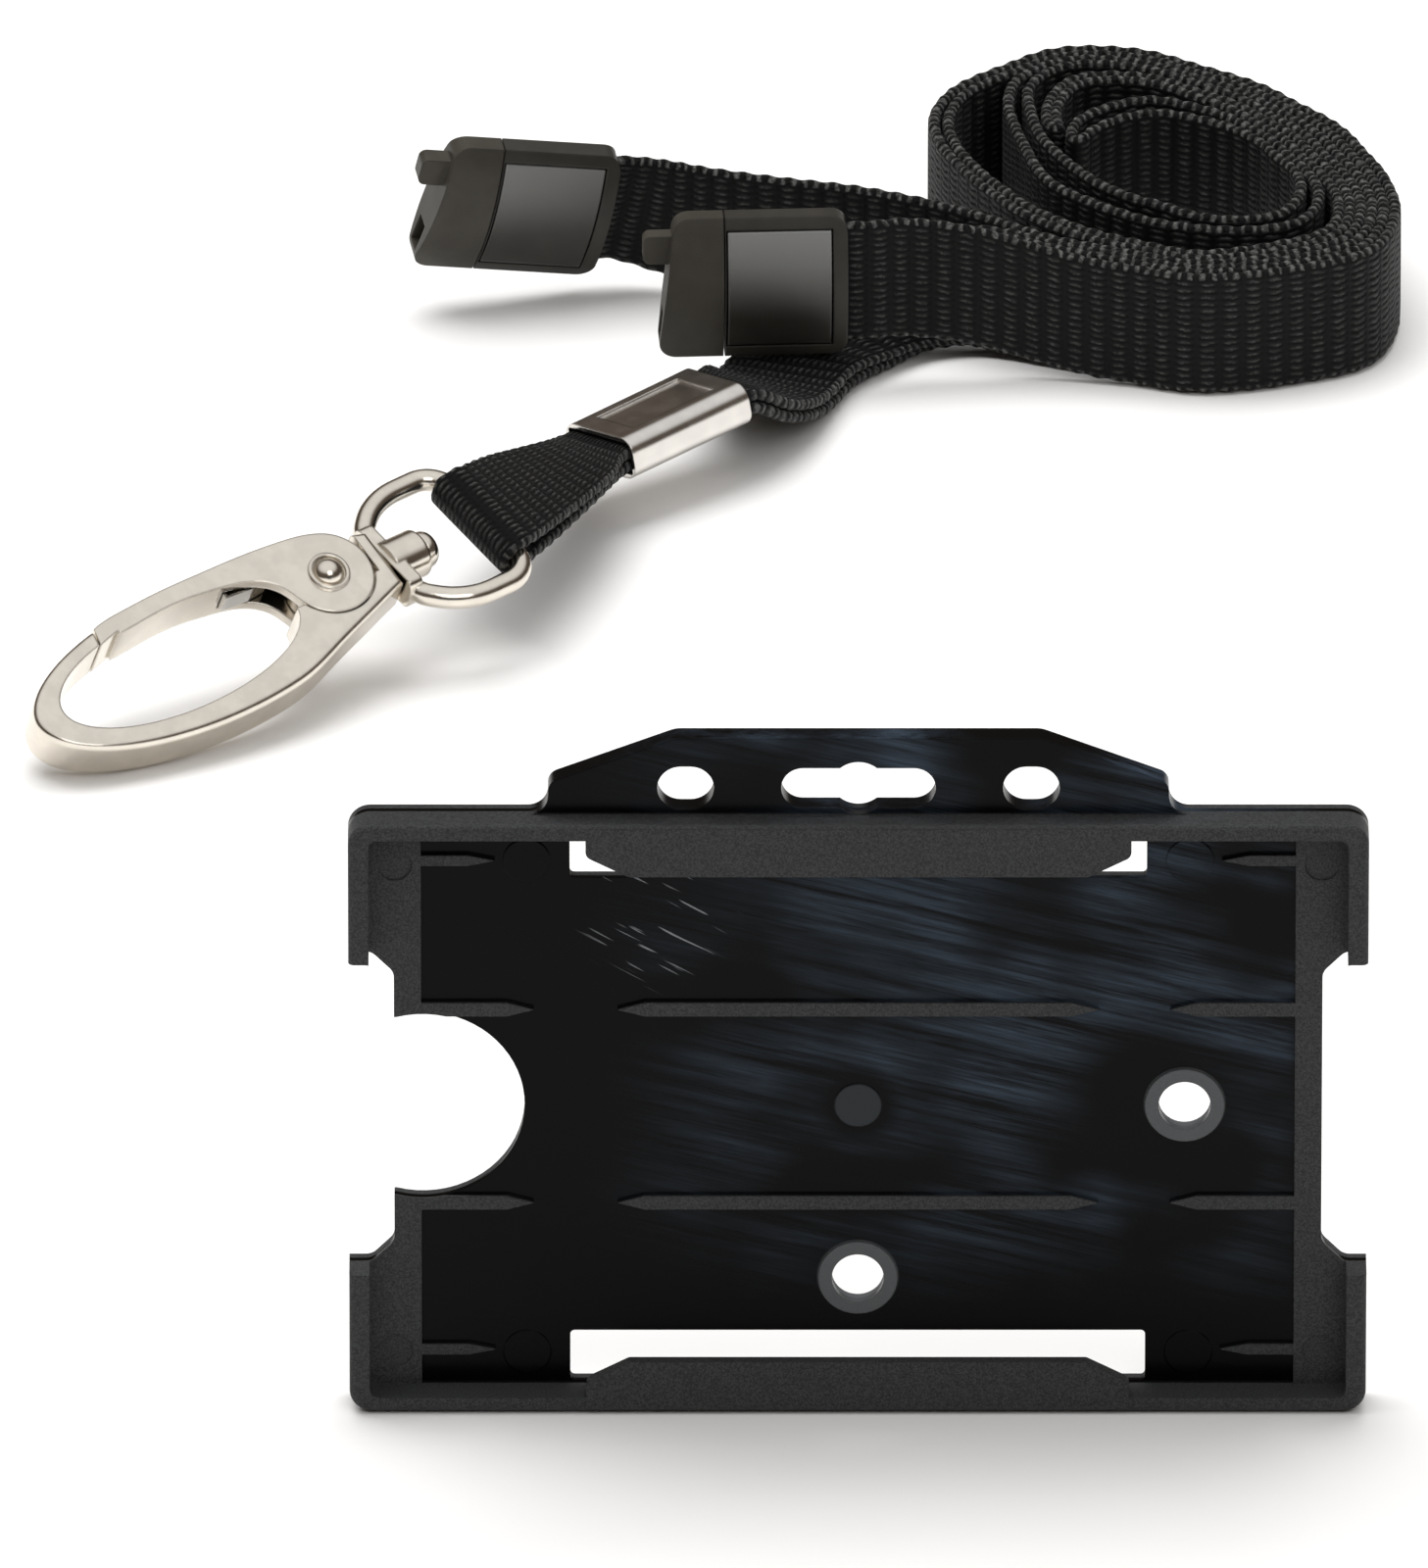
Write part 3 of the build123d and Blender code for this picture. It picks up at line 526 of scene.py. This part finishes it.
def holder_material():
    """Grained black frame and lips, and a polished tray with streaks, a painted bluish reflection and a few
    scratches.
    """
    n = Nodes("holder_plastic")
    x, y, z = n.axes()
    inside = n.math("MULTIPLY", n.between(y, 0.75, 0.95), n.between(n.math("MULTIPLY", y, -1.0), -1.6, -1.4))
    tab = n.between(z, 57.1, 57.5)
    polished = n.math("MAXIMUM", inside, tab)
    streak = n.noise(0.5, 6.0, 0.75, (0.06, 1.0, 1.6), (0, math.radians(14), 0))
    cloud = n.noise(0.05, 2.0, 0.5, (1.0, 1.0, 1.4))
    # Painted reflection: bluish streaks in the tray's colour, from the middle to the right and from 8 to 22 mm
    # up.
    right = n.math("MULTIPLY", n.between(x, -26.0, 4.0), n.math("SUBTRACT", 1.0, n.between(x, 36.0, 42.0)))
    tray_reflection_paint = n.math("MULTIPLY", n.between(streak, 0.34, 0.7), n.between(cloud, 0.36, 0.62))
    tray_reflection_paint = n.math("MULTIPLY", tray_reflection_paint, n.math("MULTIPLY", right, n.between(z, 8.0, 22.0)))
    # The painted reflection fades out round the side hole and the centre mark, which leaves darker halos
    # there.
    for heart, inner, outer in (((25.5, 29.5), 4.0, 10.0), (CENTRE_MARK, 2.2, 4.6)):
        tray_reflection_paint = n.math("MULTIPLY", tray_reflection_paint, n.math("SUBTRACT", 1.0, n.disc(x, z, heart, inner, outer)))
    # The tray is near black where nothing is painted and bluish where the painted reflection is.
    tray_colour = n.mix(tray_reflection_paint, (0.0012, 0.0012, 0.0013), (0.042, 0.06, 0.084))
    scratch = n.noise(1.2, 1.0, 0.4, (0.16, 1.0, 3.0), (0, math.radians(30), 0))
    scratched = n.math("MULTIPLY", n.between(scratch, 0.66, 0.72), n.disc(x, z, (-17.5, 47.0), 4.0, 8.0))
    tray_colour = n.mix(scratched, tray_colour, (0.2, 0.21, 0.22))
    tray_colour = n.mix(n.disc(x, z, CENTRE_MARK, 1.9, 2.2), tray_colour, (0.03, 0.034, 0.038))
    grain = n.noise(5.5, 3.0, 0.65)
    frame_colour = n.mix(n.between(grain, 0.3, 0.7), (0.026, 0.0265, 0.027), (0.058, 0.06, 0.061))
    collar = n.math("MAXIMUM", n.disc(x, z, SIDE_HOLE, *COLLAR_EDGE), n.disc(x, z, LOWER_HOLE, *COLLAR_EDGE))
    plain = n.mix(polished, frame_colour, tray_colour)
    colour = n.mix(n.math("MULTIPLY", collar, 0.8), plain, (0.11, 0.115, 0.12))
    roughness = n.blend(polished, 0.5, n.blend(streak, 0.16, 0.34))
    height = n.blend(polished, grain, n.math("MULTIPLY", streak, 0.15))
    return n.finish(colour=colour, roughness=roughness, specular=0.08,
                    normal=n.bump(height, 0.07, 0.7, n.soft_edges(0.18)))


def smooth_shading(node):
    """Smooth shading within each CAD face; faces meet at a crisp line, and no vertex moves."""
    node.data.shade_smooth()


def paint(node, material):
    node.data.materials.clear()
    node.data.materials.append(material)


def dress_frame():
    """Materials for the CAD nodes that show."""
    metal = metal_material("bright_metal", (0.8, 0.745, 0.66), 0.13, 0.35)
    ferrule = metal_material("ferrule_metal", (0.76, 0.73, 0.69), 0.2, 0.25)
    spring = metal_material("spring_steel", (0.6, 0.59, 0.57), 0.25, 0.05)
    satin = plastic_material("clip_satin", (0.046, 0.042, 0.034), 0.45, 6.5, 0.05, 0.25, 0.2)
    shell = plastic_material("clip_shell", (0.034, 0.032, 0.027), 0.4, 9.0, 0.02, 0.3, 0.2)
    # The lids turn paler from 7 to 16 mm up: a painted reflection.
    lid = plastic_material("clip_lid", (0.028, 0.025, 0.021), 0.33, 9.0, 0.015, 0.3, 0.3, painted_reflection_heights=(7.0, 16.0))
    looks = {"card_holder": holder_material(), "ferrule": ferrule, "gate_spring": spring}
    for name in ("swivel_yoke", "swivel_pin", "hook_body", "hook_gate", "gate_rivet"):
        looks[name] = metal
    for half in ("front", "back"):
        looks[f"breakaway_{half}_core"] = satin
        looks[f"breakaway_{half}_shell"] = shell
        looks[f"breakaway_{half}_lid"] = lid
    for name, material in looks.items():
        smooth_shading(nodes[name])
        paint(nodes[name], material)


# ---- studio ---------------------------------------------------------------------------------------------
def make_floor():
    mesh = bpy.data.meshes.new("floor")
    half = 6.0
    corners = [(-half, -half, 0), (half, -half, 0), (half, half, 0), (-half, half, 0)]
    mesh.from_pydata(corners, [], [(0, 1, 2, 3)])
    floor = bpy.data.objects.new("floor", mesh)
    floor.location = (0, 0.12, -0.0002)
    bpy.context.scene.collection.objects.link(floor)
    n = Nodes("floor")
    paint(floor, n.finish(colour=(0.93, 0.925, 0.915), roughness=0.9, specular=0.1))


def area_light(name, place, aim, size, power, mirrored=True):
    """A soft lamp; one that is not mirrored lights the scene but does not show in the metal."""
    data = bpy.data.lights.new(name, "AREA")
    data.shape = "RECTANGLE"
    data.size, data.size_y = size
    data.energy = power
    light = bpy.data.objects.new(name, data)
    light.location = place
    light.visible_glossy = mirrored
    light.rotation_euler = (Vector(aim) - Vector(place)).to_track_quat("-Z", "Y").to_euler()
    bpy.context.scene.collection.objects.link(light)


def make_world():
    world = bpy.data.worlds.new("studio")
    bpy.context.scene.world = world
    world.use_nodes = True
    tree = world.node_tree
    background = tree.nodes["Background"]
    where = tree.nodes.new("ShaderNodeTexCoord")
    split = tree.nodes.new("ShaderNodeSeparateXYZ")
    ramp = tree.nodes.new("ShaderNodeValToRGB")
    seen = tree.nodes.new("ShaderNodeLightPath")
    mix = tree.nodes.new("ShaderNodeMix")
    mix.data_type = "RGBA"
    tree.links.new(where.outputs["Generated"], split.inputs[0])
    tree.links.new(split.outputs[2], ramp.inputs[0])
    stops = ((0.0, (0.10, 0.08, 0.065)), (0.50, (0.11, 0.088, 0.07)), (0.60, (0.5, 0.48, 0.46)),
             (0.75, (0.9, 0.9, 0.91)), (1.0, (1.0, 1.0, 1.0)))
    ramp.color_ramp.elements[0].position = stops[0][0]
    ramp.color_ramp.elements[0].color = (*stops[0][1], 1)
    ramp.color_ramp.elements[1].position = stops[-1][0]
    ramp.color_ramp.elements[1].color = (*stops[-1][1], 1)
    for position, colour in stops[1:-1]:
        ramp.color_ramp.elements.new(position).color = (*colour, 1)
    tree.links.new(seen.outputs["Is Camera Ray"], mix.inputs[0])
    tree.links.new(ramp.outputs[0], mix.inputs[6])
    mix.inputs[7].default_value = (1, 1, 1, 1)
    tree.links.new(mix.outputs[2], background.inputs[0])
    background.inputs[1].default_value = 0.9


def make_studio():
    bpy.context.scene.view_settings.view_transform = "Standard"
    make_floor()
    make_world()
    area_light("overhead", (-0.2, 0.45, 1.3), (0, 0.12, 0), (1.4, 1.0), 17.0, mirrored=False)
    area_light("front", (0.5, -1.2, 1.1), (0, 0.1, 0), (0.9, 0.7), 5.0)


strap, strap_length = make_strap()
paint(strap, webbing_material())
dress_frame()
make_studio()

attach(strap, "lanyard")
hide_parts("webbing_coil", "webbing_front_end", "webbing_back_end", "webbing_neck", "webbing_loop")
print("strap length", round(strap_length, 1))
